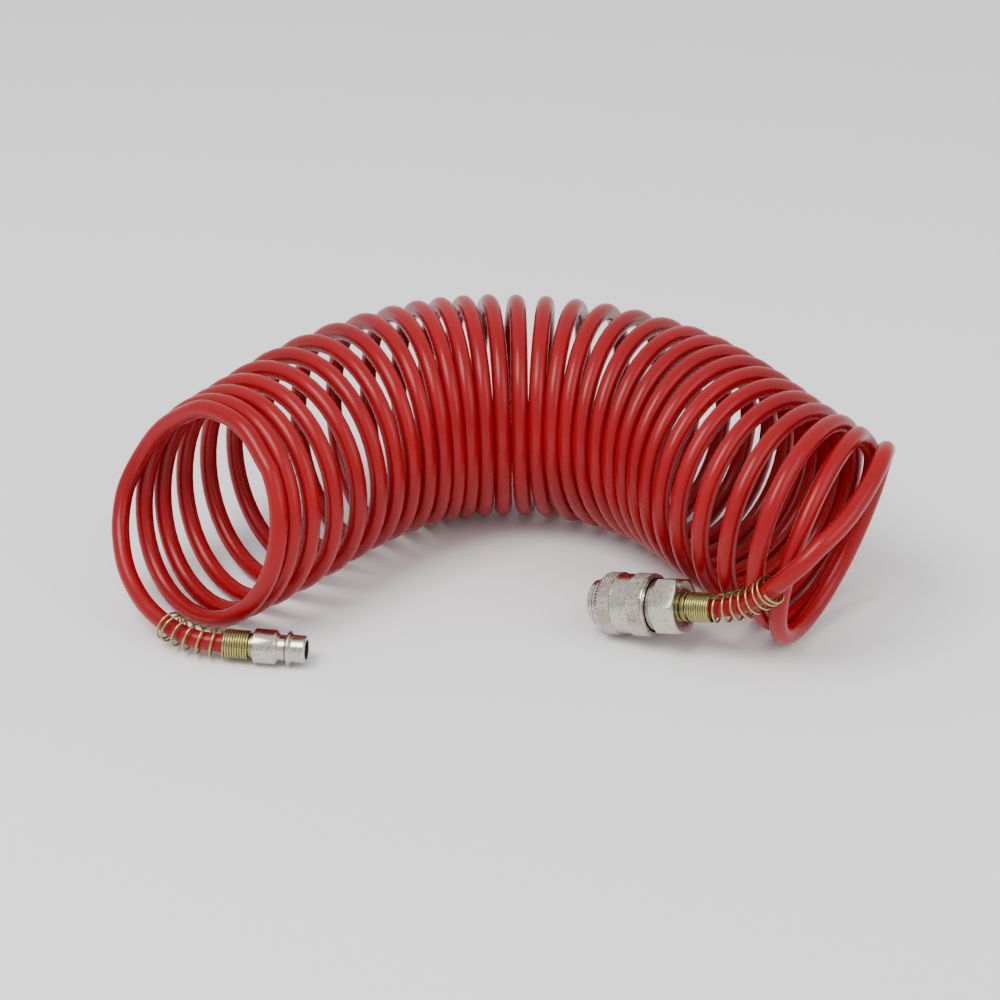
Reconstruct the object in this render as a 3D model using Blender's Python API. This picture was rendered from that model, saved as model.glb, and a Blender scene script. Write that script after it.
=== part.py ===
"""Coiled air hose with a quick-connect plug on one end and a quick-release coupler on the other.

The hose lies on the ground, and its bundle of turns is bent into an arc.  +X runs along the
chord of the arc from the plug's end to the coupler's end, +Y points to the arc's outer side
and +Z is up.  The origin is the middle of the footprint, on the ground.

Each fitting is drawn along its own axis: local +X points from the hose to the fitting's free
end, and x = 0 is its free end face.  Outlines are (x, radius) points in millimetres.
"""

import math

import bmesh
import bpy
import numpy as np
from mathutils import Matrix, Vector

MM = 0.001
GAP = 0.3 * MM  # clearance that touching pieces keep
MERGE = 0.001 * MM

# ---------------------------------------------------------------- hose
HOSE_R = 3.25 * MM
HOSE_STEP = 6 * MM  # between the points of a lead
HOSE_ROUNDNESS = 2  # extra points in each quarter of a round bar's section
WIRE_ROUNDNESS = 0
SPAN_STEPS = 24  # straight pieces between two points of a route

# ---------------------------------------------------------------- bundle of turns
COIL_R = 39.0 * MM  # centreline radius of one turn
BUNDLE_START = Vector((-103.4, -38.2, 0)) * MM
BUNDLE_LENGTH = 302 * MM
# along the bundle at even steps: heading in degrees to the left of +X, then how far the top
# and the outer side of a turn run ahead of its middle, as a share of its radius
HEADINGS = (46, 53, 31, -4, -37, -62, -48)
TOP_LEAD = (0.30, 0.10, 0.00, 0.00, -0.10, -0.06, 0.16)
SIDE_LEAD = (-0.02, 0.17, 0.16, -0.03, -0.06, -0.20, -0.28)
BUNDLE_RINGS = 25
BUNDLE_SIDES = 24
BUNDLE_FIRST = 0.02
BUNDLE_LAST = 0.93
BUNDLE_STEPS = 200  # straight pieces that the bundle's middle line is added up from

# ---------------------------------------------------------------- where the fittings lie
PLUG_TIP = Vector((-65.0, -74.5, 6.4)) * MM
PLUG_HEADING = -8.5
PLUG_PITCH = 0.0
COUPLER_TIP = Vector((37.8, -47.5, 10.0)) * MM
COUPLER_HEADING = 150.5
COUPLER_PITCH = -13.2

# ---------------------------------------------------------------- routes of the two leads, in mm
PLUG_ROUTE = (
    (-104.0, -68.0, 6.8), (-111.6, -63.4, 7.4), (-118.2, -57.4, 8.6), (-124.0, -51.2, 10.8),
    (-128.6, -44.3, 13.6), (-132.4, -37.2, 17.9), (-134.8, -29.4, 23.4), (-135.9, -22.2, 30.4),
    (-135.2, -15.8, 39.4), (-132.4, -12.4, 50.5),
)
PLUG_LEAD_ANGLE = 32.0  # where on the bundle's end face the lead comes in, up from the outer side
COUPLER_ROUTE = (
    (86.8, -75.2, 25.1), (93.1, -78.9, 30.8), (98.7, -81.9, 38.5), (105.1, -83.3, 46.0),
    (112.0, -81.4, 52.2), (119.5, -76.0, 57.9), (126.2, -68.7, 62.5), (131.6, -60.0, 66.2),
    (135.0, -50.6, 68.6), (136.0, -41.0, 70.0), (135.6, -33.0, 70.2), (134.9, -25.8, 69.6),
)
COUPLER_LEAD_ANGLE = 25.0
LEAD_STRAIGHT = (0, 6, 12)  # how far back the route stays on the fitting's axis
LEAD_INTO_BUNDLE = ((8.0, 8.0), (3.1, 0.0))  # last points: out from the end face, back along the turn

# ---------------------------------------------------------------- round fittings
ROUND_STEPS = 24
WIDE_STEPS = 32
FINE_STEPS = 16

PLUG_LENGTH = 18.5
PLUG_OUTLINE = (
    (0, 3.5), (0, 4.6), (-0.4, 5.0), (-4.9, 5.0), (-5.6, 6.1), (-6.4, 6.1), (-7.4, 4.65), (-9.6, 4.65),
    (-10.7, 6.2), (-18.2, 6.2), (-PLUG_LENGTH, 5.9), (-PLUG_LENGTH, 4.3), (-13.0, 4.3), (-12.6, 3.5),
)

HEX_FRONT = 27.0
HEX_REAR = 36.0
HEX_ACROSS_FLATS = 19.0
HEX_TURN = 6.0  # degrees from straight up to the first corner
HEX_BAR_LENGTH = 60 * MM  # reaches past the adapter's front end
ADAPTER_OUTLINE = (
    (-20.5, 8.3), (-20.5, 9.0), (-20.8, 9.3), (-26.9, 9.3), (-HEX_FRONT, 9.6), (-27.9, 11.2),
    (-34.8, 11.2), (-HEX_REAR, 9.1), (-HEX_REAR, 4.3), (-29.5, 4.3), (-29.5, 8.3),
)
BODY_OUTLINE = (
    (0, 6.7), (0, 7.3), (-0.9, 8.2), (-2.4, 8.2), (-2.4, 7.7), (-4.3, 7.7), (-4.3, 8.2), (-20.2, 8.2),
    (-20.2, 8.0), (-28.0, 8.0), (-28.0, 6.6), (-20.0, 6.6), (-20.0, 4.4), (-19.0, 4.4), (-19.0, 5.2),
    (-15.9, 5.2), (-15.9, 6.6), (-14.1, 6.6), (-14.1, 5.2), (-12.2, 5.2), (-11.8, 6.4), (-0.4, 6.4),
)
SLEEVE_OUTLINE = (
    (-4.6, 8.5), (-4.6, 9.9), (-4.9, 10.3), (-6.1, 11.3), (-11.2, 11.3), (-11.6, 10.9), (-17.3, 10.9),
    (-17.7, 11.35), (-23.6, 11.35), (-24.4, 10.9), (-24.4, 9.7), (-13.6, 9.7), (-13.6, 8.55),
    (-9.5, 8.55), (-6.7, 9.6), (-5.05, 9.6), (-5.0, 8.5),
)
SNAP_RING_OUTLINE = ((-3.4, 7.95), (-3.4, 9.1), (-4.0, 9.1), (-4.0, 7.95))
PLUG_SEAL_CENTRE = (-15.0, 5.75)
PLUG_SEAL_RADIUS = 0.75
BODY_SEAL_CENTRE = (-28.8, 7.4)
BODY_SEAL_RADIUS = 0.5
POPPET_OUTLINE = (
    (-13.6, 0), (-13.6, 3.6), (-13.9, 3.9), (-20.2, 3.9), (-20.2, 4.1), (-21.1, 4.1), (-21.1, 6.0),
    (-22.3, 6.0), (-22.3, 2.2), (-25.4, 2.2), (-25.7, 1.9), (-25.7, 0),
)
VALVE_SEAL_OUTLINE = ((-20.3, 4.4), (-20.3, 5.9), (-20.8, 5.9), (-20.8, 4.4))

BALL_COUNT = 6
BALL_R = 1.6 * MM
BALL_X = -9.2 * MM
BALL_ORBIT = 6.9 * MM
BALL_HOLE_R = 1.7 * MM
BALL_DRILL_LENGTH = 24 * MM
BALL_DRILL_SIDES = 16
BALL_SIDES = 10

SLEEVE_SPRING = (-14.3 * MM, -19.9 * MM, 9.05 * MM, 0.4 * MM, 3.5)  # ends, mean radius, wire, turns
VALVE_SPRING = (-22.9 * MM, -28.9 * MM, 4.9 * MM, 0.3 * MM, 5.5)
SPRING_STEPS = 12  # points in one turn of a spring

# ---------------------------------------------------------------- hose tails and their guards
TAIL_STUB = 5.0
TAIL_STUB_R = 4.0
TAIL_COLLAR_R = 5.2
TAIL_BORE_R = 1.6
TAIL_SLEEVE = 9.4
TAIL_SLEEVE_R = 4.1
TAIL_SOCKET_R = 3.6
TAIL_SOCKET_SINK = 0.8  # the socket reaches this far into the collar
PLUG_COLLAR = 1.1
COUPLER_COLLAR = 1.6
GUARD_R = 4.85 * MM  # to the middle of the wire
GUARD_WIRE_R = 0.45 * MM
GUARD_START = 1.4 * MM  # from the hose's end in the tail
GUARD_CLOSE_PITCH = 0.98 * MM
GUARD_CLOSE_TURNS = 9
GUARD_END_PITCH = 1.8 * MM
GUARD_END_TURNS = 1.5
PLUG_GUARD_PITCH = 4.4 * MM
PLUG_GUARD_TURNS = 5
COUPLER_GUARD_PITCH = 4.1 * MM
COUPLER_GUARD_TURNS = 6

# ---------------------------------------------------------------- finishes: colour, roughness, metal
RED_PLASTIC = ((0.56, 0.017, 0.022), 0.28, 0.0)
NICKEL = ((0.60, 0.57, 0.53), 0.25, 1.0)
ZINC = ((0.62, 0.57, 0.36), 0.35, 1.0)
STEEL = ((0.55, 0.55, 0.55), 0.30, 1.0)
BLACK_RUBBER = ((0.02, 0.02, 0.02), 0.80, 0.0)
BRASS = ((0.72, 0.52, 0.22), 0.35, 1.0)


def clear_scene():
    for old in list(bpy.data.objects):
        bpy.data.objects.remove(old)


def add_piece(name, data, finish, parent=None, location=(0, 0, 0)):
    """Puts one sub-part in the scene with a material of its own."""
    colour, roughness, metallic = finish
    material = bpy.data.materials.new(name)
    material.use_nodes = True
    shader = material.node_tree.nodes["Principled BSDF"]
    shader.inputs["Base Color"].default_value = (*colour, 1)
    shader.inputs["Roughness"].default_value = roughness
    shader.inputs["Metallic"].default_value = metallic
    data.materials.append(material)
    piece = bpy.data.objects.new(name, data)
    piece.parent = parent
    piece.location = location
    bpy.context.collection.objects.link(piece)
    return piece


def mesh_from(bm, name):
    bmesh.ops.recalc_face_normals(bm, faces=bm.faces)
    mesh = bpy.data.meshes.new(name)
    bm.to_mesh(mesh)
    bm.free()
    mesh.shade_smooth()
    mesh.set_sharp_from_angle(angle=math.radians(30))
    return mesh


def fitting_axis(name, tip, heading, pitch):
    """Empty at a fitting's free end whose local +X runs out of that end."""
    axis = bpy.data.objects.new(name, None)
    turn = Matrix.Rotation(math.radians(heading), 4, "Z") @ Matrix.Rotation(-math.radians(pitch), 4, "Y")
    axis.matrix_world = Matrix.Translation(tip) @ turn
    bpy.context.collection.objects.link(axis)
    return axis


def turned(name, outline, finish, parent, steps=ROUND_STEPS):
    """Lathe work: an (x, radius) outline in millimetres, spun about local X."""
    bm = bmesh.new()
    ring = [bm.verts.new((x * MM, 0, radius * MM)) for x, radius in outline]
    for here, after in zip(ring, ring[1:] + ring[:1]):
        if here.co.z > 0 or after.co.z > 0:
            bm.edges.new((here, after))
    bmesh.ops.spin(bm, geom=ring + bm.edges[:], cent=(0, 0, 0), axis=(1, 0, 0), angle=math.tau, steps=steps)
    bmesh.ops.remove_doubles(bm, verts=bm.verts, dist=MERGE)
    return add_piece(name, mesh_from(bm, name), finish, parent)


def round_outline(centre, radius, sides=8):
    """Outline of a seal with a round section."""
    x, r = centre
    turns = [math.tau * k / sides for k in range(sides)]
    return [(x + radius * math.cos(a), r + radius * math.sin(a)) for a in turns]


def cut_with(piece, name, mesh, matrix, operation):
    """Boolean with a hidden tool."""
    tool = bpy.data.objects.new(name, mesh)
    tool.parent = piece.parent
    tool.matrix_local = matrix
    tool.hide_render = True
    tool.display_type = "WIRE"
    bpy.context.collection.objects.link(tool)
    cut = piece.modifiers.new(name, "BOOLEAN")
    cut.operation = operation
    cut.object = tool
    return tool


def prism(name, sides, radius, length):
    """Upright prism about local Z with one corner on +X."""
    bm = bmesh.new()
    turn = Matrix.Rotation(math.pi / 2, 4, "Z")
    bmesh.ops.create_cone(
        bm, cap_ends=True, segments=sides, radius1=radius, radius2=radius, depth=length, matrix=turn
    )
    return mesh_from(bm, name)


def round_bar(name, points, radius, roundness, finish):
    """Round bar along a list of points, with closed ends."""
    curve = bpy.data.curves.new(name, "CURVE")
    curve.dimensions = "3D"
    curve.bevel_depth = radius
    curve.bevel_resolution = roundness
    curve.use_fill_caps = True
    spline = curve.splines.new("POLY")
    spline.points.add(len(points) - 1)
    for target, point in zip(spline.points, points):
        target.co = (*point, 1)
    return add_piece(name, curve, finish)


def between(values, share):
    """Smooth value at a share of the way along evenly spaced stations."""
    place = min(max(share, 0), 1) * (len(values) - 1)
    i = min(int(place), len(values) - 2)
    f = place - i
    before, here, after, beyond = (values[min(max(i + k, 0), len(values) - 1)] for k in (-1, 0, 1, 2))
    bend = (2 * before - 5 * here + 4 * after - beyond) * f * f
    twist = (3 * here - before - 3 * after + beyond) * f ** 3
    return (2 * here + (after - before) * f + bend + twist) / 2


def bundle_section(share):
    """Middle of the bundle at a share of its length, and its leaning outer-side and top vectors."""
    middle = BUNDLE_START.copy()
    for k in range(BUNDLE_STEPS):
        turn = math.radians(between(HEADINGS, share * (k + 0.5) / BUNDLE_STEPS))
        middle += Vector((math.cos(turn), math.sin(turn), 0)) * (BUNDLE_LENGTH * share / BUNDLE_STEPS)
    turn = math.radians(between(HEADINGS, share))
    ahead = Vector((math.cos(turn), math.sin(turn), 0))
    outer = Vector((-math.sin(turn), math.cos(turn), 0))
    side = outer + ahead * between(SIDE_LEAD, share)
    top = Vector((0, 0, 1)) + ahead * between(TOP_LEAD, share)
    return middle, side, top


def bundle_point(share, angle, radius):
    """Point of the bundle at an angle up from its outer side, with the bundle lying on the ground."""
    middle, side, top = bundle_section(share)
    lift = (COIL_R + HOSE_R) * math.cos(math.pi / BUNDLE_SIDES)
    return middle + side * (radius * math.cos(angle)) + top * (radius * math.sin(angle)) + Vector((0, 0, lift))


def make_bundle():
    """Bundle of turns as one fat tube of its outer size, with a flat strip to lie on."""
    bm = bmesh.new()
    rings = []
    for k in range(BUNDLE_RINGS):
        share = BUNDLE_FIRST + (BUNDLE_LAST - BUNDLE_FIRST) * k / (BUNDLE_RINGS - 1)
        angles = [math.tau * (j + 0.5) / BUNDLE_SIDES for j in range(BUNDLE_SIDES)]
        rings.append([bm.verts.new(bundle_point(share, a, COIL_R + HOSE_R)) for a in angles])
    for ring, after in zip(rings, rings[1:]):
        for j in range(BUNDLE_SIDES):
            nxt = (j + 1) % BUNDLE_SIDES
            bm.faces.new((ring[j], ring[nxt], after[nxt], after[j]))
    bm.faces.new(rings[0])
    bm.faces.new(rings[-1])
    return add_piece("hose_coil", mesh_from(bm, "hose_coil"), RED_PLASTIC)


def route_through(points):
    """Smooth path through hand-placed points: distances along it, and positions."""
    marks = np.array([tuple(point) for point in points])
    marks = np.vstack((2 * marks[0] - marks[1], marks, 2 * marks[-1] - marks[-2]))
    dense = []
    for i in range(len(points) - 1):
        before, here, after, beyond = marks[i : i + 4]
        for f in np.arange(SPAN_STEPS) / SPAN_STEPS:
            bend = (2 * before - 5 * here + 4 * after - beyond) * f * f
            twist = (3 * here - before - 3 * after + beyond) * f ** 3
            dense.append((2 * here + (after - before) * f + bend + twist) / 2)
    dense.append(marks[-2])
    steps = np.linalg.norm(np.diff(dense, axis=0), axis=1)
    return np.concatenate(([0], np.cumsum(steps))), np.array(dense)


def along_route(route, distance):
    distances, dense = route
    return Vector(np.interp(distance, distances, dense[:, k]) for k in range(3))


def make_lead(name, route):
    length = route[0][-1]
    count = round(length / HOSE_STEP)
    points = [along_route(route, length * k / count) for k in range(count + 1)]
    return round_bar(name, points, HOSE_R, HOSE_ROUNDNESS, RED_PLASTIC)


def make_guard(name, route, start, open_pitch, open_turns):
    """Spring around a lead: wound close on the hose tail, open beyond it, close again at its end."""
    turns = GUARD_CLOSE_TURNS + open_turns + GUARD_END_TURNS
    points = []
    for k in range(round(turns * SPRING_STEPS) + 1):
        turn = k / SPRING_STEPS
        opened = min(max(turn - GUARD_CLOSE_TURNS, 0), open_turns)
        ended = max(turn - GUARD_CLOSE_TURNS - open_turns, 0)
        closed = min(turn, GUARD_CLOSE_TURNS)
        distance = start + closed * GUARD_CLOSE_PITCH + opened * open_pitch + ended * GUARD_END_PITCH
        middle = along_route(route, distance)
        ahead = (along_route(route, distance + HOSE_R) - along_route(route, distance - HOSE_R)).normalized()
        side = ahead.cross(Vector((0, 0, 1))).normalized()
        top = side.cross(ahead)
        angle = math.tau * turn
        points.append(middle + (side * math.cos(angle) + top * math.sin(angle)) * GUARD_R)
    return round_bar(name, points, GUARD_WIRE_R, WIRE_ROUNDNESS, ZINC)


def make_spring(name, parent, size):
    """Plain compression spring about local X."""
    front, rear, radius, wire_r, turns = size
    count = round(turns * SPRING_STEPS)
    points = []
    for k in range(count + 1):
        angle = math.tau * k / SPRING_STEPS
        points.append((front + (rear - front) * k / count, radius * math.cos(angle), radius * math.sin(angle)))
    spring = round_bar(name, points, wire_r, WIRE_ROUNDNESS, STEEL)
    spring.parent = parent
    return spring


def make_tail(name, parent, seat, collar):
    """Hose tail: a stub in the fitting, a collar outside it and a socket that grips the hose."""
    end = seat - collar - TAIL_SLEEVE
    floor = seat - collar + TAIL_SOCKET_SINK
    gap = GAP / MM
    outline = (
        (seat + TAIL_STUB, TAIL_BORE_R), (seat + TAIL_STUB, TAIL_STUB_R), (seat - gap, TAIL_STUB_R),
        (seat - gap, TAIL_COLLAR_R), (seat - collar, TAIL_COLLAR_R), (seat - collar, TAIL_SLEEVE_R),
        (end, TAIL_SLEEVE_R), (end, TAIL_SOCKET_R), (floor, TAIL_SOCKET_R), (floor, TAIL_BORE_R),
    )
    turned(name, outline, ZINC, parent)
    return floor * MM - GAP


def make_balls(parent, body):
    """Locking balls, each in a hole through the body's wall; its origin is on its way out."""
    for k in range(BALL_COUNT):
        angle = math.tau * k / BALL_COUNT
        bm = bmesh.new()
        bmesh.ops.create_uvsphere(bm, u_segments=BALL_SIDES, v_segments=BALL_SIDES // 2, radius=BALL_R)
        name = f"locking_ball_{k + 1}"
        place = (BALL_X, BALL_ORBIT * math.cos(angle), BALL_ORBIT * math.sin(angle))
        add_piece(name, mesh_from(bm, name), STEEL, parent, place)
    for k in range(BALL_COUNT // 2):
        angle = math.tau * k / BALL_COUNT
        drill = prism(f"ball_drill_{k + 1}", BALL_DRILL_SIDES, BALL_HOLE_R, BALL_DRILL_LENGTH)
        # the drill's own +Z is turned to point across the bore
        turn = Matrix.Rotation(angle, 4, "X") @ Matrix.Rotation(-math.pi / 2, 4, "X")
        cut_with(body, drill.name, drill, Matrix.Translation((BALL_X, 0, 0)) @ turn, "DIFFERENCE")


def make_adapter(parent):
    """Rear of the coupler: a round collar, and a hexagon with chamfered corners for a spanner."""
    adapter = turned("coupler_hex_adapter", ADAPTER_OUTLINE, NICKEL, parent, WIDE_STEPS)
    corner = HEX_ACROSS_FLATS / 2 / math.cos(math.pi / 6) * MM
    bar = prism("hex_bar", 6, corner, HEX_BAR_LENGTH)
    lie_down = Matrix.Rotation(math.radians(-HEX_TURN), 4, "X") @ Matrix.Rotation(-math.pi / 2, 4, "Y")
    cut_with(adapter, "hex_bar", bar, Matrix.Translation((-HEX_FRONT * MM, 0, 0)) @ lie_down, "INTERSECT")


def lead_route(axis, hose_end, points, share, angle):
    """Route of a lead: straight out of its fitting, through its own points, up to the bundle's end face."""
    out = [axis.matrix_world @ Vector((hose_end - reach * MM, 0, 0)) for reach in LEAD_STRAIGHT]
    way = 1 if share == BUNDLE_FIRST else -1
    turn = math.radians(angle)
    middle, side, top = bundle_section(share)
    face = side.cross(top).normalized() * way
    along_turn = (top * math.cos(turn) - side * math.sin(turn)) * way
    mouth = bundle_point(share, turn, COIL_R)
    into = [mouth - face * (off * MM) - along_turn * (back * MM) for off, back in LEAD_INTO_BUNDLE]
    return route_through(out + [Vector(point) * MM for point in points] + into)


def make_plug():
    axis = fitting_axis("plug_axis", PLUG_TIP, PLUG_HEADING, PLUG_PITCH)
    turned("plug_body", PLUG_OUTLINE, NICKEL, axis)
    hose_end = make_tail("plug_hose_tail", axis, -PLUG_LENGTH, PLUG_COLLAR)
    route = lead_route(axis, hose_end, PLUG_ROUTE, BUNDLE_FIRST, PLUG_LEAD_ANGLE)
    make_lead("hose_lead_plug", route)
    make_guard("plug_spring_guard", route, GUARD_START, PLUG_GUARD_PITCH, PLUG_GUARD_TURNS)


def make_coupler():
    axis = fitting_axis("coupler_axis", COUPLER_TIP, COUPLER_HEADING, COUPLER_PITCH)
    body = turned("coupler_body", BODY_OUTLINE, NICKEL, axis)
    make_balls(axis, body)
    turned("coupler_sleeve", SLEEVE_OUTLINE, NICKEL, axis, WIDE_STEPS)
    turned("sleeve_snap_ring", SNAP_RING_OUTLINE, STEEL, axis)
    turned("plug_seal", round_outline(PLUG_SEAL_CENTRE, PLUG_SEAL_RADIUS), BLACK_RUBBER, axis, FINE_STEPS)
    turned("body_seal", round_outline(BODY_SEAL_CENTRE, BODY_SEAL_RADIUS), BLACK_RUBBER, axis, FINE_STEPS)
    turned("valve_poppet", POPPET_OUTLINE, BRASS, axis, FINE_STEPS)
    turned("valve_seal", VALVE_SEAL_OUTLINE, BLACK_RUBBER, axis, FINE_STEPS)
    make_spring("sleeve_spring", axis, SLEEVE_SPRING)
    make_spring("valve_spring", axis, VALVE_SPRING)
    make_adapter(axis)
    hose_end = make_tail("coupler_hose_tail", axis, -HEX_REAR, COUPLER_COLLAR)
    route = lead_route(axis, hose_end, COUPLER_ROUTE, BUNDLE_LAST, COUPLER_LEAD_ANGLE)
    make_lead("hose_lead_coupler", route)
    make_guard("coupler_spring_guard", route, GUARD_START, COUPLER_GUARD_PITCH, COUPLER_GUARD_TURNS)


def main():
    clear_scene()
    make_bundle()
    make_plug()
    make_coupler()
    bpy.context.view_layer.update()


main()
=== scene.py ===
"""Finished look of the coiled air hose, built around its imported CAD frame.

The hose is one continuous tube: it leaves the coupler, winds through the bundle of turns and ends
in the plug.  Both fittings are drawn along their own axes, as in the CAD: local +X points from the
hose to the fitting's free end, and x = 0 is its free end face.  Outlines are (x, radius) points in
millimetres.
"""

import math

import bmesh
import bpy
import numpy as np
from mathutils import Matrix, Vector


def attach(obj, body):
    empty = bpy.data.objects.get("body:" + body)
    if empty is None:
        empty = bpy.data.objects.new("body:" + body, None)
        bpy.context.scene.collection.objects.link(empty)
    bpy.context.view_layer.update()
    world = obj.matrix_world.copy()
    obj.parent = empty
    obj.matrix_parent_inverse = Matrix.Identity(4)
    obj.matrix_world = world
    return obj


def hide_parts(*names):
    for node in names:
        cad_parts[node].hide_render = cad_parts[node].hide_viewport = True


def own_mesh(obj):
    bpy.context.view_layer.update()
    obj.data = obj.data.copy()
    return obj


MM = 0.001
STATIC_BODY = "hose_and_fittings"

# ---------------------------------------------------------------- hose and its bundle of turns
HOSE_R = 3.25  # mm
HOSE_SIDES = 20
COIL_R = 38.9  # mm, centreline radius of one turn
TURNS = 29
TURN_STEPS = 48
BUNDLE_START = (-103.4, -38.2)  # mm
BUNDLE_LENGTH = 302.0  # mm
# at even steps along the bundle: heading in degrees to the left of +X, how far the top and the
# outer side of a turn run ahead of its middle as a share of its radius, and how much wider it is
HEADINGS = (46.2, 53.0, 31.3, -3.9, -37.4, -61.5, -47.9)
TOP_LEAD = (0.30, 0.10, 0.01, 0.0, -0.105, -0.06, 0.16)
SIDE_LEAD = (-0.025, 0.17, 0.163, -0.03, -0.06, -0.203, -0.284)
SWELL = (-0.047, -0.003, 0.023, 0.016, 0.0, -0.031, -0.045)
PITCHES = (0.72, 1.54, 1.45, 0.935, 1.21, 1.305, 1.025, 1.185, 1.29)  # of turns, relative
FIRST_ANGLE = 78.0  # where the plug's lead becomes the bundle, in degrees up from the outer side
LAST_ANGLE = 360.0 * TURNS + 30.0
TABLE_STEPS = 400  # straight pieces that the bundle's middle line is added up from

# ---------------------------------------------------------------- the two leads, in mm
PLUG_ROUTE = (
    (-104.0, -68.0, 6.8), (-111.6, -63.4, 7.4), (-118.2, -57.4, 8.6), (-124.0, -51.2, 10.8),
    (-128.6, -44.3, 13.6), (-132.4, -37.2, 17.9), (-134.8, -29.4, 23.4), (-135.6, -22.2, 30.4),
    (-133.8, -15.8, 40.0), (-127.7, -12.3, 51.5), (-119.8, -14.0, 62.8), (-110.4, -19.2, 71.3),
)
# the loop after the bundle is a slanted circle: middle, forward drift in one turn, and the vectors
# from the middle to its top and to its near side
LAST_LOOP = ((118.7, -50.2, 39.5), (5.9, -13.0, 10.7), (18.6, 24.6, 22.0), (-2.9, -15.1, 29.4))
LAST_LOOP_ANGLES = (24.0, 340.0, 15.8)  # first, last and step, in degrees from its top
COUPLER_ROUTE = (
    (139.9, -33.5, 63.6), (138.6, -41.5, 68.2), (136.0, -50.4, 69.6), (131.9, -59.4, 66.6),
    (126.2, -68.4, 62.0), (119.6, -76.4, 57.2), (111.9, -82.6, 52.4), (105.2, -85.4, 46.4),
    (98.7, -83.9, 38.8), (93.1, -79.9, 31.4), (86.8, -75.4, 25.2),
)
LEAD_STRAIGHT = (0, 6, 12)  # how far back a lead stays on its fitting's axis
LEAD_STEP = 2.0  # between the points of a lead
SPAN_STEPS = 40  # straight pieces between two points of a route

# ---------------------------------------------------------------- where the fittings lie
PLUG_TIP = (-65.0, -74.5, 6.4)
PLUG_HEADING = -8.5
PLUG_PITCH = 0.0
COUPLER_TIP = (37.8, -47.5, 10.0)
COUPLER_HEADING = 150.5
COUPLER_PITCH = -13.2

# ---------------------------------------------------------------- fittings
LATHE_STEPS = 96
PLUG_LENGTH = 18.5
PLUG_OUTLINE = (
    (0, 3.5), (0, 4.5), (-0.15, 4.75), (-0.5, 5.0), (-4.8, 5.0), (-5.1, 5.2), (-5.6, 6.0), (-5.85, 6.15),
    (-6.2, 6.15), (-6.45, 6.0), (-7.0, 5.0), (-7.4, 4.65), (-9.5, 4.65), (-9.8, 4.85), (-10.6, 6.05),
    (-10.9, 6.2), (-18.2, 6.2), (-PLUG_LENGTH, 5.9), (-PLUG_LENGTH, 4.3), (-13.0, 4.3), (-12.6, 3.5),
)
HEX_FRONT = 27.0
HEX_REAR = 36.0
HEX_ACROSS_FLATS = 19.0
HEX_TURN = 6.0  # degrees from straight up to the first corner
HEX_BAR_LENGTH = 60.0  # reaches past the adapter's front end
ADAPTER_OUTLINE = (
    (-20.5, 8.3), (-20.5, 9.0), (-20.8, 9.3), (-26.9, 9.3), (-HEX_FRONT, 9.6), (-27.9, 11.2),
    (-34.8, 11.2), (-HEX_REAR, 9.1), (-HEX_REAR, 4.3), (-29.5, 4.3), (-29.5, 8.3),
)

SLEEVE_OUTLINE = (
    (-4.6, 8.5), (-4.6, 9.8), (-4.7, 10.0), (-5.0, 10.3), (-6.2, 11.3), (-11.2, 11.3), (-11.3, 11.0),
    (-11.6, 10.85), (-17.3, 10.85), (-17.6, 11.0), (-17.7, 11.35), (-23.5, 11.35), (-23.6, 11.0),
    (-23.8, 10.95), (-24.0, 11.1), (-24.3, 11.1), (-24.4, 10.95), (-24.4, 9.7), (-13.6, 9.7), (-13.6, 8.55),
    (-9.5, 8.55), (-6.7, 9.6), (-5.05, 9.6), (-5.0, 8.5),
)
KNURL_BANDS = ((-5.0, -11.2), (-17.7, -23.5))
SLEEVE_BORE_LIMIT = 10.0  # points of the outline below this radius belong to the bore
KNURL_COUNT = 54  # diamonds around the sleeve
KNURL_ROW = 0.58  # half a diamond along the sleeve
KNURL_DEPTH = 0.34

# hose tails: a stub in the fitting, a collar outside it and a socket that grips the hose
PLUG_COLLAR = 1.1
PLUG_COLLAR_R = 4.6
COUPLER_COLLAR = 1.6
COUPLER_COLLAR_R = 5.2
COLLAR_ROUNDING = 0.2
TAIL_STUB = 5.0
TAIL_STUB_R = 4.0
TAIL_BORE_R = 1.6
TAIL_SLEEVE = 9.4
TAIL_SLEEVE_R = 4.1
TAIL_SOCKET_R = 3.4
TAIL_SOCKET_SINK = 0.8  # how far the socket reaches into the collar
HOSE_SINK = 0.5  # how far the hose's end reaches into the collar
TAIL_SEAM = 0.1  # between the fitting's rear face and the collar

# guards: the radius grows a little towards the free end
GUARD_WIRE_R = 0.43
GUARD_R = (4.85, 5.35)
GUARD_START = 1.3  # from the hose's end in the tail
GUARD_CLOSE_PITCH = 0.92
GUARD_CLOSE_TURNS = 9.5
GUARD_END_PITCH = 1.9
GUARD_END_TURNS = 1.5
GUARD_STEPS = 32
PLUG_GUARD = (4.4, 5)  # pitch and number of the open turns
COUPLER_GUARD = (4.1, 6)

# springs inside the coupler: front, rear, radius, wire radius, turns
SLEEVE_SPRING = (-14.3, -19.9, 9.05, 0.4, 3.5)
VALVE_SPRING = (-22.9, -28.9, 4.9, 0.3, 5.5)
SPRING_STEPS = 36

# ---------------------------------------------------------------- camera, in metres
CAMERA_PLACE = (0.003, -0.8257, 0.4654)
CAMERA_TILT = 62.0  # degrees up from straight down
CAMERA_LENS = 90.0  # mm on a 36 mm sensor

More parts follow.
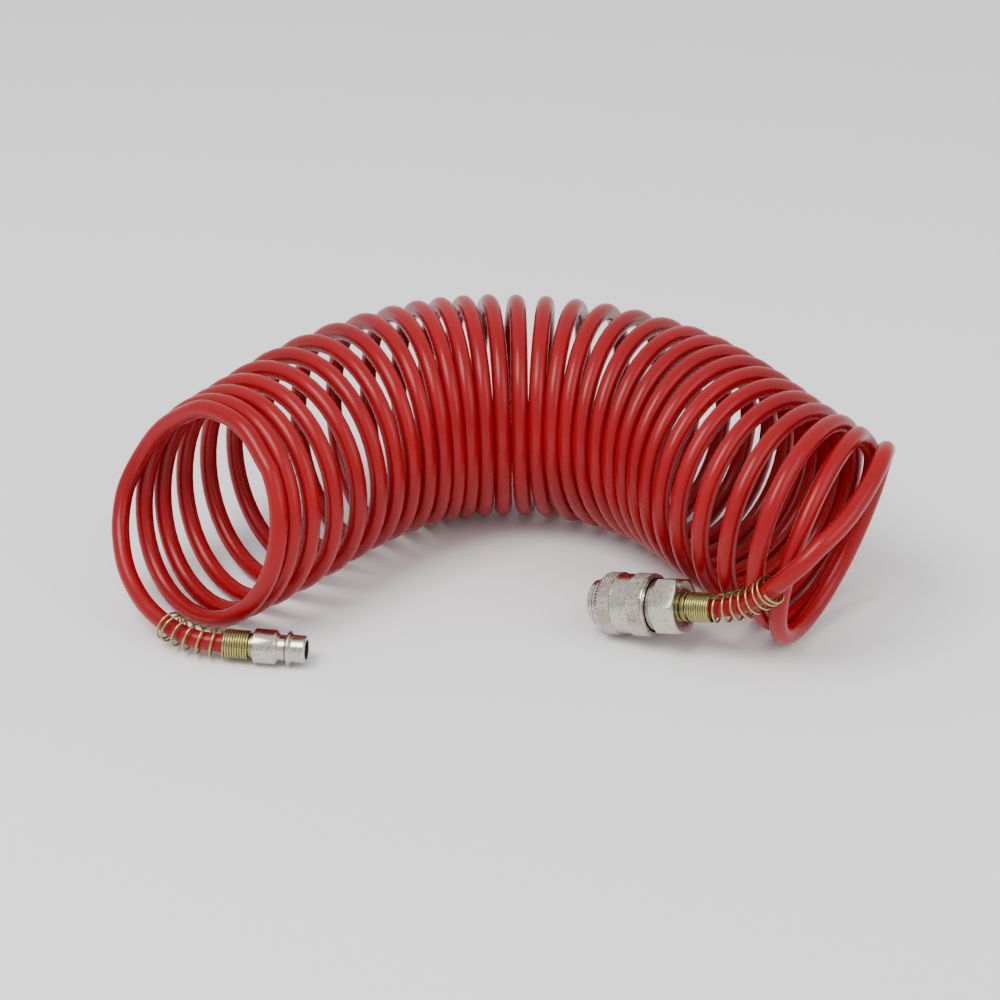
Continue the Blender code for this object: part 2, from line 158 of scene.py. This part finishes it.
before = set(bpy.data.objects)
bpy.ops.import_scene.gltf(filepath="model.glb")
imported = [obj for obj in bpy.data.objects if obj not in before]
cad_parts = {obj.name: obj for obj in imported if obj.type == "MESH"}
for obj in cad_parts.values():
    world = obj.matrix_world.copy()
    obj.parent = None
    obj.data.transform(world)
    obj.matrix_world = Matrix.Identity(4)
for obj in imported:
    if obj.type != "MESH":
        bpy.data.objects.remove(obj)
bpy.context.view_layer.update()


# ---------------------------------------------------------------- curves
def between(values, share):
    """Smooth values at shares of the way along evenly spaced stations."""
    values = np.asarray(values, float)
    last = len(values) - 1
    place = np.clip(share, 0, 1) * last
    i = np.minimum(place.astype(int), last - 1)
    f = place - i
    before, here, after, beyond = (values[np.clip(i + k, 0, last)] for k in (-1, 0, 1, 2))
    bend = (2 * before - 5 * here + 4 * after - beyond) * f**2
    twist = (3 * here - before - 3 * after + beyond) * f**3
    return (2 * here + (after - before) * f + bend + twist) / 2


def running_sum(values):
    return np.concatenate(([0], np.cumsum((values[1:] + values[:-1]) / 2)))


def bundle_points(angles):
    """Centreline points in mm of the bundle's turns, at angles counted up over all the turns."""
    table = np.linspace(0, 1, TABLE_STEPS + 1)
    heading = np.radians(between(HEADINGS, table))
    middle_x = BUNDLE_START[0] + running_sum(np.cos(heading)) * BUNDLE_LENGTH / TABLE_STEPS
    middle_y = BUNDLE_START[1] + running_sum(np.sin(heading)) * BUNDLE_LENGTH / TABLE_STEPS
    wound = running_sum(between(PITCHES, table))
    wound /= wound[-1]
    share = (angles - 90) / (360 * TURNS)
    along = np.interp(share, table, wound)
    over = np.minimum(share, 0) * wound[1] * TABLE_STEPS
    turn = np.interp(along, table, heading)
    x = np.interp(along, table, middle_x) + over * BUNDLE_LENGTH * np.cos(turn)
    y = np.interp(along, table, middle_y) + over * BUNDLE_LENGTH * np.sin(turn)
    radius = COIL_R * (1 + between(SWELL, share))
    up, out = np.sin(np.radians(angles)), np.cos(np.radians(angles))
    ahead = radius * (between(TOP_LEAD, share) * up + between(SIDE_LEAD, share) * out)
    x += -radius * out * np.sin(turn) + ahead * np.cos(turn)
    y += radius * out * np.cos(turn) + ahead * np.sin(turn)
    return np.stack((x, y, radius + HOSE_R + radius * up), axis=1)


def smooth_through(points, step):
    """Even points along a smooth curve through given points (centripetal Catmull-Rom)."""
    marks = np.asarray(points, float)
    marks = np.vstack((2 * marks[0] - marks[1], marks, 2 * marks[-1] - marks[-2]))
    dense = []
    for a, b, c, d in zip(marks, marks[1:], marks[2:], marks[3:]):
        knots = running_knots((a, b, c, d))
        for t in np.linspace(knots[1], knots[2], SPAN_STEPS, endpoint=False):
            ab = mix(a, b, knots[0], knots[1], t)
            bc = mix(b, c, knots[1], knots[2], t)
            cd = mix(c, d, knots[2], knots[3], t)
            abc = mix(ab, bc, knots[0], knots[2], t)
            bcd = mix(bc, cd, knots[1], knots[3], t)
            dense.append(mix(abc, bcd, knots[1], knots[2], t))
    dense.append(marks[-2])
    return resampled(np.array(dense), step)


def running_knots(points):
    knots = [0.0]
    for p, q in zip(points, points[1:]):
        knots.append(knots[-1] + np.linalg.norm(q - p) ** 0.5)
    return knots


def mix(p, q, start, end, t):
    return p + (q - p) * (t - start) / (end - start)


def resampled(dense, step):
    distance = distances(dense)
    count = round(distance[-1] / step)
    at = np.linspace(0, distance[-1], count + 1)
    return np.stack([np.interp(at, distance, dense[:, k]) for k in range(3)], axis=1)


def distances(points):
    return np.concatenate(([0], np.cumsum(np.linalg.norm(np.diff(points, axis=0), axis=1))))


def point_at(points, distance):
    """Places along a path, at distances from its first point."""
    far = distances(points)
    return np.stack([np.interp(distance, far, points[:, k]) for k in range(3)], axis=-1)


# ---------------------------------------------------------------- pieces
def fitting_matrix(tip, heading, pitch):
    turn = Matrix.Rotation(math.radians(heading), 4, "Z") @ Matrix.Rotation(-math.radians(pitch), 4, "Y")
    return Matrix.Translation(Vector(tip) * MM) @ turn


PLUG_FRAME = fitting_matrix(PLUG_TIP, PLUG_HEADING, PLUG_PITCH)
COUPLER_FRAME = fitting_matrix(COUPLER_TIP, COUPLER_HEADING, COUPLER_PITCH)


def add_object(name, data, material, body, replaced=None):
    """Puts a piece in the scene, riding on a CAD body."""
    data.materials.append(material)
    piece = bpy.data.objects.new(name, data)
    bpy.context.scene.collection.objects.link(piece)
    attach(piece, body)
    if replaced:
        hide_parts(replaced)
    return piece


def finished_mesh(bm, name, sharp_angle=32):
    bmesh.ops.recalc_face_normals(bm, faces=bm.faces)
    mesh = bpy.data.meshes.new(name)
    bm.to_mesh(mesh)
    bm.free()
    mesh.shade_smooth()
    mesh.set_sharp_from_angle(angle=math.radians(sharp_angle))
    return mesh


def lathe_bm(outline, matrix, steps):
    """Closed outline in mm spun about the local X axis, then placed by the matrix."""
    bm = bmesh.new()
    rings = []
    for x, radius in outline:
        ring = []
        for k in range(steps):
            angle = math.tau * k / steps
            place = Vector((x, radius * math.cos(angle), radius * math.sin(angle))) * MM
            ring.append(bm.verts.new(matrix @ place))
        rings.append(ring)
    for ring, after in zip(rings, rings[1:] + rings[:1]):
        for k in range(steps):
            nxt = (k + 1) % steps
            bm.faces.new((ring[k], ring[nxt], after[nxt], after[k]))
    return bm


def tube(name, points, radius, sides, material, body, replaced=None):
    """Round bar along points in mm, as a curve with closed ends."""
    curve = bpy.data.curves.new(name, "CURVE")
    curve.dimensions = "3D"
    curve.bevel_depth = radius * MM
    curve.bevel_resolution = (sides - 4) // 2
    curve.use_fill_caps = True
    curve.twist_mode = "MINIMUM"
    spline = curve.splines.new("POLY")
    spline.points.add(len(points) - 1)
    for target, point in zip(spline.points, np.asarray(points) * MM):
        target.co = (*point, 1)
    spline.use_smooth = True
    return add_object(name, curve, material, body, replaced)


def lathe(name, outline, matrix, material, body, replaced=None, steps=LATHE_STEPS):
    mesh = finished_mesh(lathe_bm(outline, matrix, steps), name)
    return add_object(name, mesh, material, body, replaced)


# ---------------------------------------------------------------- materials
NOISE_RANGE = (0.3, 0.7)  # where nearly all of a noise texture's values lie


def node_material(name, metallic):
    material = bpy.data.materials.new(name)
    material.use_nodes = True
    shader = material.node_tree.nodes["Principled BSDF"]
    shader.inputs["Metallic"].default_value = metallic
    return material, material.node_tree, shader


def noise(tree, scale, detail=3.0, stretch=(1, 1, 1)):
    """Noise in the object's own coordinates."""
    coordinates = tree.nodes.new("ShaderNodeTexCoord")
    mapping = tree.nodes.new("ShaderNodeMapping")
    mapping.inputs["Scale"].default_value = stretch
    texture = tree.nodes.new("ShaderNodeTexNoise")
    texture.inputs["Scale"].default_value = scale
    texture.inputs["Detail"].default_value = detail
    tree.links.new(coordinates.outputs["Object"], mapping.inputs["Vector"])
    tree.links.new(mapping.outputs["Vector"], texture.inputs["Vector"])
    return texture.outputs["Fac"]


def ramp(tree, source, stops):
    """Colour ramp; a stop is (position, colour)."""
    node = tree.nodes.new("ShaderNodeValToRGB")
    elements = node.color_ramp.elements
    while len(elements) < len(stops):
        elements.new(0.5)
    for element, (position, colour) in zip(elements, stops):
        element.position = position
        element.color = (*colour, 1)
    tree.links.new(source, node.inputs["Fac"])
    return node.outputs["Color"]


def ranged(tree, source, low, high):
    node = tree.nodes.new("ShaderNodeMapRange")
    node.inputs["From Min"].default_value = NOISE_RANGE[0]
    node.inputs["From Max"].default_value = NOISE_RANGE[1]
    node.inputs["To Min"].default_value = low
    node.inputs["To Max"].default_value = high
    tree.links.new(source, node.inputs["Value"])
    return node.outputs["Result"]


def bump(tree, shader, source, distance, strength=1.0):
    node = tree.nodes.new("ShaderNodeBump")
    node.inputs["Strength"].default_value = strength
    node.inputs["Distance"].default_value = distance * MM
    tree.links.new(source, node.inputs["Height"])
    tree.links.new(node.outputs["Normal"], shader.inputs["Normal"])


def hose_plastic():
    material, tree, shader = node_material("hose_plastic", 0.0)
    colour = ramp(tree, noise(tree, 25, 2), ((0.3, (0.23, 0.002, 0.005)), (0.7, (0.30, 0.003, 0.007))))
    tree.links.new(colour, shader.inputs["Base Color"])
    tree.links.new(ranged(tree, noise(tree, 90, 3), 0.22, 0.32), shader.inputs["Roughness"])
    shader.inputs["IOR"].default_value = 1.45
    shader.inputs["Specular IOR Level"].default_value = 0.3
    shader.inputs["Subsurface Weight"].default_value = 0.05
    shader.inputs["Subsurface Radius"].default_value = (0.003, 0.0004, 0.0004)
    bump(tree, shader, noise(tree, 260, 2), 0.02, 0.25)
    return material


def nickel(name="nickel_plate", dark=(0.34, 0.31, 0.27), bright=(0.55, 0.51, 0.45)):
    material, tree, shader = node_material(name, 1.0)
    colour = ramp(tree, noise(tree, 900, 3), ((0.3, dark), (0.5, bright), (0.8, bright)))
    tree.links.new(colour, shader.inputs["Base Color"])
    tree.links.new(ranged(tree, noise(tree, 1200, 3), 0.16, 0.26), shader.inputs["Roughness"])
    bump(tree, shader, noise(tree, 2600, 2), 0.004, 0.3)
    return material


def yellow_zinc():
    material, tree, shader = node_material("yellow_zinc", 1.0)
    stops = (
        (0.25, (0.30, 0.20, 0.09)), (0.42, (0.45, 0.37, 0.13)),
        (0.58, (0.32, 0.32, 0.14)), (0.75, (0.40, 0.30, 0.17)),
    )
    tree.links.new(ramp(tree, noise(tree, 420, 3), stops), shader.inputs["Base Color"])
    tree.links.new(ranged(tree, noise(tree, 900, 3), 0.16, 0.28), shader.inputs["Roughness"])
    bump(tree, shader, noise(tree, 1800, 2), 0.004, 0.3)
    return material


def black_rubber():
    material, tree, shader = node_material("black_rubber", 0.0)
    colour = ramp(tree, noise(tree, 400, 3), ((0.3, (0.012, 0.012, 0.012)), (0.7, (0.03, 0.03, 0.03))))
    tree.links.new(colour, shader.inputs["Base Color"])
    tree.links.new(ranged(tree, noise(tree, 700, 2), 0.55, 0.75), shader.inputs["Roughness"])
    return material


RED = hose_plastic()
NICKEL = nickel()
STEEL = nickel("spring_steel", (0.36, 0.36, 0.37), (0.60, 0.60, 0.61))
BRASS = nickel("turned_brass", (0.52, 0.36, 0.12), (0.78, 0.58, 0.25))
ZINC = yellow_zinc()
RUBBER = black_rubber()


# ---------------------------------------------------------------- hose
def local_point(matrix, x):
    return np.array(matrix @ Vector((x * MM, 0, 0))) / MM


PLUG_HOSE_END = -PLUG_LENGTH - PLUG_COLLAR + HOSE_SINK
COUPLER_HOSE_END = -HEX_REAR - COUPLER_COLLAR + HOSE_SINK


def hose_path():
    """The hose's centreline in mm, from the plug to the coupler, and the two leads on their own."""
    angles = np.arange(FIRST_ANGLE, LAST_ANGLE, 360 / TURN_STEPS)
    coil = bundle_points(angles)
    plug_start = [local_point(PLUG_FRAME, PLUG_HOSE_END - back) for back in LEAD_STRAIGHT]
    coupler_end = [local_point(COUPLER_FRAME, COUPLER_HOSE_END - back) for back in LEAD_STRAIGHT[::-1]]
    middle, drift, top, near = (np.array(part) for part in LAST_LOOP)
    begin, end, step = LAST_LOOP_ANGLES
    turn = np.arange(begin, end + 1, step)[:, None]
    around = top * np.cos(np.radians(turn)) + near * np.sin(np.radians(turn))
    last_loop = middle + drift * (turn / 360 - 0.5) + around
    join = TURN_STEPS // 12
    first = smooth_through([*plug_start, *PLUG_ROUTE, coil[0], coil[join], coil[2 * join]], LEAD_STEP)
    bundle_end = [coil[-1 - 2 * join], coil[-1 - join], coil[-1]]
    last = smooth_through([*bundle_end, *last_loop, *COUPLER_ROUTE, *coupler_end], LEAD_STEP)
    path = np.vstack((first[:-1], coil[2 * join : -2 * join - 1], last[1:]))
    return path, first, last[::-1]


path, plug_lead, coupler_lead = hose_path()
hose = tube("hose", path, HOSE_R, HOSE_SIDES, RED, STATIC_BODY, "hose_coil")
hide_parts("hose_lead_plug", "hose_lead_coupler")


# ---------------------------------------------------------------- spring guards
def guard(name, lead, open_pitch, open_turns, replaced):
    """Wire guard wound close on the hose tail, open beyond it, and close again at its free end."""
    turns = GUARD_CLOSE_TURNS + open_turns + GUARD_END_TURNS
    turn = np.linspace(0, turns, round(turns * GUARD_STEPS) + 1)
    closed = np.minimum(turn, GUARD_CLOSE_TURNS)
    opened = np.clip(turn - GUARD_CLOSE_TURNS, 0, open_turns)
    ended = np.maximum(turn - GUARD_CLOSE_TURNS - open_turns, 0)
    distance = GUARD_START + closed * GUARD_CLOSE_PITCH + opened * open_pitch + ended * GUARD_END_PITCH
    middle = point_at(lead, distance)
    ahead = point_at(lead, distance + HOSE_R) - point_at(lead, distance - HOSE_R)
    ahead /= np.linalg.norm(ahead, axis=1)[:, None]
    side = np.cross(ahead, (0, 0, 1))
    side /= np.linalg.norm(side, axis=1)[:, None]
    top = np.cross(side, ahead)
    grown = np.clip((turn - GUARD_CLOSE_TURNS) / (turns - GUARD_CLOSE_TURNS), 0, 1)
    radius = (GUARD_R[0] + (GUARD_R[1] - GUARD_R[0]) * grown)[:, None]
    angle = (math.tau * turn)[:, None]
    points = middle + (side * np.cos(angle) + top * np.sin(angle)) * radius
    return tube(name, points, GUARD_WIRE_R, 12, ZINC, STATIC_BODY, replaced)


plug_guard = guard("plug_guard_wire", plug_lead, *PLUG_GUARD, "plug_spring_guard")
guard("coupler_guard_wire", coupler_lead, *COUPLER_GUARD, "coupler_spring_guard")


# ---------------------------------------------------------------- plug
def tail(name, matrix, seat, collar, collar_r, replaced):
    """Hose tail: a stub in the fitting, a collar outside it and a socket that grips the hose."""
    end = seat - collar - TAIL_SLEEVE
    floor = seat - collar + TAIL_SOCKET_SINK
    face = seat - TAIL_SEAM
    outline = (
        (seat + TAIL_STUB, TAIL_BORE_R), (seat + TAIL_STUB, TAIL_STUB_R), (face, TAIL_STUB_R),
        (face, collar_r - COLLAR_ROUNDING), (face - COLLAR_ROUNDING, collar_r),
        (seat - collar + COLLAR_ROUNDING, collar_r), (seat - collar, collar_r - COLLAR_ROUNDING),
        (seat - collar, TAIL_SLEEVE_R), (end + 0.3, TAIL_SLEEVE_R), (end, TAIL_SLEEVE_R - 0.15),
        (end, TAIL_SOCKET_R), (floor, TAIL_SOCKET_R), (floor, TAIL_BORE_R),
    )
    return lathe(name, outline, matrix, ZINC, STATIC_BODY, replaced)


plug = lathe("plug_nose_body", PLUG_OUTLINE, PLUG_FRAME, NICKEL, STATIC_BODY, "plug_body")
plug_tail = tail("plug_tail_turned", PLUG_FRAME, -PLUG_LENGTH, PLUG_COLLAR, PLUG_COLLAR_R, "plug_hose_tail")


# ---------------------------------------------------------------- coupler
def knurled_outline(outline, bands):
    """Outline with a row every half diamond in each band: (x, radius, row number or None)."""
    rows = []
    for (x, r), (x_after, r_after) in zip(outline, outline[1:] + outline[:1]):
        band = next((b for b in bands if b[0] >= x > b[1] and b[0] > x_after >= b[1]), None)
        if band is None or r < SLEEVE_BORE_LIMIT:
            rows.append((x, r, None))
            continue
        count = max(1, round((x - x_after) / KNURL_ROW))
        for k in range(count):
            part = k / count
            number = round((band[0] - x) / KNURL_ROW) + k
            edge = k == 0 and abs(x - band[0]) < 1e-6
            rows.append((x + (x_after - x) * part, r + (r_after - r) * part, None if edge else number))
    return rows


def knurled_sleeve(name, outline, matrix, steps):
    """Lathe work whose banded rows are cut into diamonds, each a small pyramid between two grooves."""
    rows = knurled_outline(outline, KNURL_BANDS)
    bm = bmesh.new()
    rings = []
    for x, radius, row in rows:
        ring = []
        for k in range(steps):
            low = row is not None and (k + row) % 2 == 0
            r = radius - (KNURL_DEPTH if low else 0)
            angle = math.tau * k / steps
            ring.append(bm.verts.new(matrix @ (Vector((x, r * math.cos(angle), r * math.sin(angle))) * MM)))
        rings.append(ring)
    for i, ring in enumerate(rings):
        after = rings[(i + 1) % len(rings)]
        row, row_after = rows[i][2], rows[(i + 1) % len(rows)][2]
        for k in range(steps):
            nxt = (k + 1) % steps
            corners = (ring[k], ring[nxt], after[nxt], after[k])
            number = row if row is not None else (row_after - 1 if row_after is not None else None)
            if number is None:
                bm.faces.new(corners)
            elif (k + number) % 2 == 0:
                bm.faces.new((corners[0], corners[1], corners[2]))
                bm.faces.new((corners[0], corners[2], corners[3]))
            else:
                bm.faces.new((corners[0], corners[1], corners[3]))
                bm.faces.new((corners[1], corners[2], corners[3]))
    mesh = finished_mesh(bm, name, 20)
    return add_object(name, mesh, NICKEL, "sleeve", "coupler_sleeve")


def hex_adapter(name):
    """Round collar and hexagon with chamfered corners: lathe work cut to a six-sided bar."""
    blank_mesh = finished_mesh(lathe_bm(ADAPTER_OUTLINE, Matrix(), LATHE_STEPS), "blank")
    blank = bpy.data.objects.new("adapter_blank", blank_mesh)
    bar_bm = bmesh.new()
    corner = HEX_ACROSS_FLATS / 2 / math.cos(math.pi / 6) * MM
    corner_to_x = Matrix.Rotation(math.pi / 2, 4, "Z")
    lie_down = Matrix.Rotation(math.radians(-HEX_TURN), 4, "X") @ Matrix.Rotation(-math.pi / 2, 4, "Y")
    bmesh.ops.create_cone(
        bar_bm, cap_ends=True, segments=6, radius1=corner, radius2=corner, depth=HEX_BAR_LENGTH * MM,
        matrix=Matrix.Translation((-HEX_FRONT * MM, 0, 0)) @ lie_down @ corner_to_x,
    )
    bar = bpy.data.objects.new("adapter_bar", finished_mesh(bar_bm, "bar"))
    for helper in (blank, bar):
        bpy.context.scene.collection.objects.link(helper)
    cut = blank.modifiers.new("cut", "BOOLEAN")
    cut.operation = "INTERSECT"
    cut.solver = "EXACT"
    cut.object = bar
    soften = blank.modifiers.new("soften", "BEVEL")
    soften.width = 0.12 * MM
    soften.segments = 2
    soften.limit_method = "ANGLE"
    soften.angle_limit = math.radians(25)
    bpy.context.view_layer.update()
    mesh = bpy.data.meshes.new_from_object(blank.evaluated_get(bpy.context.evaluated_depsgraph_get()))
    for helper in (blank, bar):
        bpy.data.objects.remove(helper)
    mesh.name = name
    mesh.transform(COUPLER_FRAME)
    mesh.shade_smooth()
    mesh.set_sharp_from_angle(angle=math.radians(40))
    return add_object(name, mesh, NICKEL, STATIC_BODY, "coupler_hex_adapter")


def inner_spring(name, size, replaced):
    """Compression spring in the coupler, wound evenly from its front to its rear end."""
    front, rear, radius, wire_r, turns = size
    turn = np.linspace(0, turns, round(turns * SPRING_STEPS) + 1)
    along = front + (rear - front) * turn / turns
    local = np.stack((along, radius * np.cos(math.tau * turn), radius * np.sin(math.tau * turn)), axis=1)
    points = [np.array(COUPLER_FRAME @ Vector(p * MM)) / MM for p in local]
    curve = tube(name + "_line", points, wire_r, 8, STEEL, STATIC_BODY)
    bpy.context.view_layer.update()
    mesh = bpy.data.meshes.new_from_object(curve.evaluated_get(bpy.context.evaluated_depsgraph_get()))
    mesh.materials.clear()
    bpy.data.objects.remove(curve)
    spring = add_object(name, mesh, STEEL, STATIC_BODY, replaced)
    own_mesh(spring)
    return spring


knurled_sleeve("coupler_sleeve_knurled", SLEEVE_OUTLINE, COUPLER_FRAME, 2 * KNURL_COUNT)
hex_adapter("coupler_hex_turned")
tail("coupler_tail_turned", COUPLER_FRAME, -HEX_REAR, COUPLER_COLLAR, COUPLER_COLLAR_R, "coupler_hose_tail")
inner_spring("sleeve_spring_wire", SLEEVE_SPRING, "sleeve_spring")
inner_spring("valve_spring_wire", VALVE_SPRING, "valve_spring")

CAD_FINISHES = {
    "coupler_body": NICKEL,
    "sleeve_snap_ring": STEEL,
    "plug_seal": RUBBER,
    "body_seal": RUBBER,
    "valve_seal": RUBBER,
    "valve_poppet": BRASS,
}
for number in range(1, 7):
    CAD_FINISHES[f"locking_ball_{number}"] = STEEL
for node, finish in CAD_FINISHES.items():
    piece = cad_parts[node]
    piece.data.materials.clear()
    piece.data.materials.append(finish)


# ---------------------------------------------------------------- stage, light and camera
def plain_material(name, colour, roughness):
    material, tree, shader = node_material(name, 0.0)
    shader.inputs["Base Color"].default_value = (*colour, 1)
    shader.inputs["Roughness"].default_value = roughness
    return material


def make_floor():
    bm = bmesh.new()
    bmesh.ops.create_grid(bm, x_segments=1, y_segments=1, size=6.0)
    mesh = finished_mesh(bm, "floor")
    mesh.materials.append(plain_material("pale_floor", (0.90, 0.90, 0.90), 0.7))
    floor = bpy.data.objects.new("floor", mesh)
    bpy.context.scene.collection.objects.link(floor)


def area_light(name, place, target, size, power):
    data = bpy.data.lights.new(name, "AREA")
    data.shape = "RECTANGLE"
    data.size, data.size_y = size
    data.energy = power
    light = bpy.data.objects.new(name, data)
    light.location = place
    light.rotation_euler = (Vector(target) - Vector(place)).to_track_quat("-Z", "Y").to_euler()
    bpy.context.scene.collection.objects.link(light)


def make_light():
    world = bpy.data.worlds.new("studio")
    world.use_nodes = True
    background = world.node_tree.nodes["Background"]
    background.inputs["Color"].default_value = (1, 1, 1, 1)
    background.inputs["Strength"].default_value = 0.95
    bpy.context.scene.world = world
    area_light("key", (-0.5, -0.5, 1.2), (0, 0, 0.04), (0.7, 0.7), 16)
    area_light("fill", (0.9, -0.6, 0.8), (0, 0, 0.04), (0.8, 0.8), 5)


def make_camera():
    data = bpy.data.cameras.new("camera")
    data.lens = CAMERA_LENS
    data.sensor_width = 36.0
    data.clip_start = 0.01
    camera = bpy.data.objects.new("camera", data)
    camera.location = CAMERA_PLACE
    camera.rotation_euler = (math.radians(CAMERA_TILT), 0, 0)
    bpy.context.scene.collection.objects.link(camera)
    bpy.context.scene.camera = camera


make_floor()
make_light()
make_camera()
